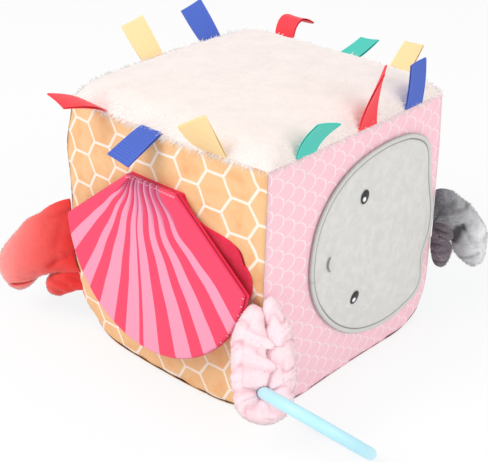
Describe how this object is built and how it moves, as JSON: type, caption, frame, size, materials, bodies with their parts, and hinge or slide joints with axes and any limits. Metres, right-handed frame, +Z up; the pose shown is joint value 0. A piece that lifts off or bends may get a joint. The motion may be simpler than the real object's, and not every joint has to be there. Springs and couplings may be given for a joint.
{
  "type": "soft fabric activity block",
  "caption": "Stuffed fabric activity cube for a baby, with a lifting shell flap, an animal appliqué, plush limbs, a teether ring on a gathered strap and ribbon tags.",
  "frame": {"origin": "centre of the block's flat underside, on the surface it stands on", "axes": "+Z up; -Y faces the honeycomb panel with the shell flap; +X faces the panel with the animal"},
  "size_m": [0.2779, 0.2122, 0.1846],
  "materials": {
    "honeycomb_print": "matte",
    "scale_print": "matte",
    "cream_plush": "matte",
    "teal_print": "matte",
    "blue_print": "matte",
    "dark_print": "matte",
    "foam": "matte",
    "rattle_plastic": "satin",
    "shell_pink": "matte",
    "shell_red": "matte",
    "crinkle_film": "satin",
    "animal_fleece": "matte",
    "grey_thread": "satin",
    "black_thread": "satin",
    "grey_plush": "matte",
    "red_plush": "matte",
    "pink_plush": "matte",
    "teether_plastic": "satin",
    "red_ribbon": "satin",
    "blue_ribbon": "satin",
    "yellow_ribbon": "satin",
    "green_ribbon": "satin"
  },
  "bodies": {
    "block": {"front_panel": "honeycomb_print", "right_panel": "scale_print", "back_panel": "blue_print", "left_panel": "teal_print", "top_panel": "cream_plush", "bottom_panel": "dark_print", "foam_core_lower": "foam", "foam_core_upper": "foam", "rattle_case_lower": "rattle_plastic", "rattle_case_upper": "rattle_plastic", "shell_backing": "shell_red", "animal_applique": "animal_fleece", "animal_border": "grey_thread", "animal_eye_upper": "black_thread", "animal_eye_lower": "black_thread", "animal_mouth": "grey_thread"},
    "flap": {"shell_flap_lining": "shell_red", "shell_crinkle_film": "crinkle_film", "shell_flap_front": "shell_pink"},
    "tail": {"tail_fluke": "grey_plush", "tail_stalk": "grey_plush", "tail_stub": "grey_plush"},
    "claw": {"claw_palm": "red_plush", "claw_thumb": "red_plush"},
    "strap": {"strap": "pink_plush"},
    "ring": {"teether_ring": "teether_plastic"},
    "ball": {"rattle_ball": "rattle_plastic"},
    "tag_red_front": {"tag_red_front": "red_ribbon"},
    "tag_blue_front": {"tag_blue_front": "blue_ribbon"},
    "tag_yellow_front": {"tag_yellow_front": "yellow_ribbon"},
    "tag_green_right": {"tag_green_right": "green_ribbon"},
    "tag_red_right": {"tag_red_right": "red_ribbon"},
    "tag_blue_right": {"tag_blue_right": "blue_ribbon"},
    "tag_yellow_back": {"tag_yellow_back": "yellow_ribbon"},
    "tag_green_back": {"tag_green_back": "green_ribbon"},
    "tag_red_back": {"tag_red_back": "red_ribbon"},
    "tag_blue_left": {"tag_blue_left": "blue_ribbon"},
    "tag_yellow_left": {"tag_yellow_left": "yellow_ribbon"},
    "tag_green_left": {"tag_green_left": "green_ribbon"}
  },
  "joints": [
    {"name": "flap_hinge", "type": "hinge", "parent": "block", "child": "flap", "pos_m": [0.0005, -0.08146, 0.122], "axis": [-1, 0, 0], "range_deg": [-3, 85], "stiffness_Nm_per_rad": 0.05},
    {"name": "strap_swing", "type": "hinge", "parent": "block", "child": "strap", "pos_m": [0.07565, -0.07884, 0.076], "axis": [0, 0, 1], "range_deg": [-7, 22], "stiffness_Nm_per_rad": 0.02},
    {"name": "ring_spin", "type": "hinge", "parent": "strap", "child": "ring", "pos_m": [0.1166, -0.08265, 0.02441], "axis": [-0.0233, -0.7, -0.7137], "continuous": true},
    {"name": "tail_swing", "type": "hinge", "parent": "block", "child": "tail", "pos_m": [0.07486, 0.07555, 0.062], "axis": [0, 0, 1], "range_deg": [-30, 30], "stiffness_Nm_per_rad": 0.02},
    {"name": "claw_swing", "type": "hinge", "parent": "block", "child": "claw", "pos_m": [-0.07858, -0.07827, 0.06], "axis": [0, 0, 1], "range_deg": [-35, 5], "stiffness_Nm_per_rad": 0.02},
    {"name": "rattle_slide", "type": "slide", "parent": "block", "child": "ball", "axis": [0, 0, 1], "range_m": [0, 0.019]},
    {"name": "tag_red_front_bend", "type": "hinge", "parent": "block", "child": "tag_red_front", "pos_m": [-0.04947, -0.07666, 0.15053], "axis": [1, 0, 0], "range_deg": [-30, 25], "stiffness_Nm_per_rad": 0.003},
    {"name": "tag_blue_front_bend", "type": "hinge", "parent": "block", "child": "tag_blue_front", "pos_m": [-0.00375, -0.07756, 0.15057], "axis": [1, 0, 0], "range_deg": [-30, 25], "stiffness_Nm_per_rad": 0.003},
    {"name": "tag_yellow_front_bend", "type": "hinge", "parent": "block", "child": "tag_yellow_front", "pos_m": [0.0375, -0.07707, 0.15057], "axis": [1, 0, 0], "range_deg": [-30, 25], "stiffness_Nm_per_rad": 0.003},
    {"name": "tag_green_right_bend", "type": "hinge", "parent": "block", "child": "tag_green_right", "pos_m": [0.07573, -0.04723, 0.15055], "axis": [0, 1, 0], "range_deg": [-30, 25], "stiffness_Nm_per_rad": 0.003},
    {"name": "tag_red_right_bend", "type": "hinge", "parent": "block", "child": "tag_red_right", "pos_m": [0.07586, 0.00375, 0.15057], "axis": [0, 1, 0], "range_deg": [-30, 25], "stiffness_Nm_per_rad": 0.003},
    {"name": "tag_blue_right_bend", "type": "hinge", "parent": "block", "child": "tag_blue_right", "pos_m": [0.07572, 0.04798, 0.15054], "axis": [0, 1, 0], "range_deg": [-30, 25], "stiffness_Nm_per_rad": 0.003},
    {"name": "tag_yellow_back_bend", "type": "hinge", "parent": "block", "child": "tag_yellow_back", "pos_m": [0.042, 0.0759, 0.15056], "axis": [-1, 0, 0], "range_deg": [-30, 25], "stiffness_Nm_per_rad": 0.003},
    {"name": "tag_green_back_bend", "type": "hinge", "parent": "block", "child": "tag_green_back", "pos_m": [-0.00375, 0.07606, 0.15057], "axis": [-1, 0, 0], "range_deg": [-30, 25], "stiffness_Nm_per_rad": 0.003},
    {"name": "tag_red_back_bend", "type": "hinge", "parent": "block", "child": "tag_red_back", "pos_m": [-0.04574, 0.07587, 0.15055], "axis": [-1, 0, 0], "range_deg": [-30, 25], "stiffness_Nm_per_rad": 0.003},
    {"name": "tag_blue_left_bend", "type": "hinge", "parent": "block", "child": "tag_blue_left", "pos_m": [-0.07808, 0.03975, 0.15056], "axis": [0, -1, 0], "range_deg": [-30, 25], "stiffness_Nm_per_rad": 0.003},
    {"name": "tag_yellow_left_bend", "type": "hinge", "parent": "block", "child": "tag_yellow_left", "pos_m": [-0.07903, -0.0075, 0.15057], "axis": [0, -1, 0], "range_deg": [-30, 25], "stiffness_Nm_per_rad": 0.003},
    {"name": "tag_green_left_bend", "type": "hinge", "parent": "block", "child": "tag_green_left", "pos_m": [-0.07779, -0.04499, 0.15055], "axis": [0, -1, 0], "range_deg": [-30, 15], "stiffness_Nm_per_rad": 0.003}
  ]
}
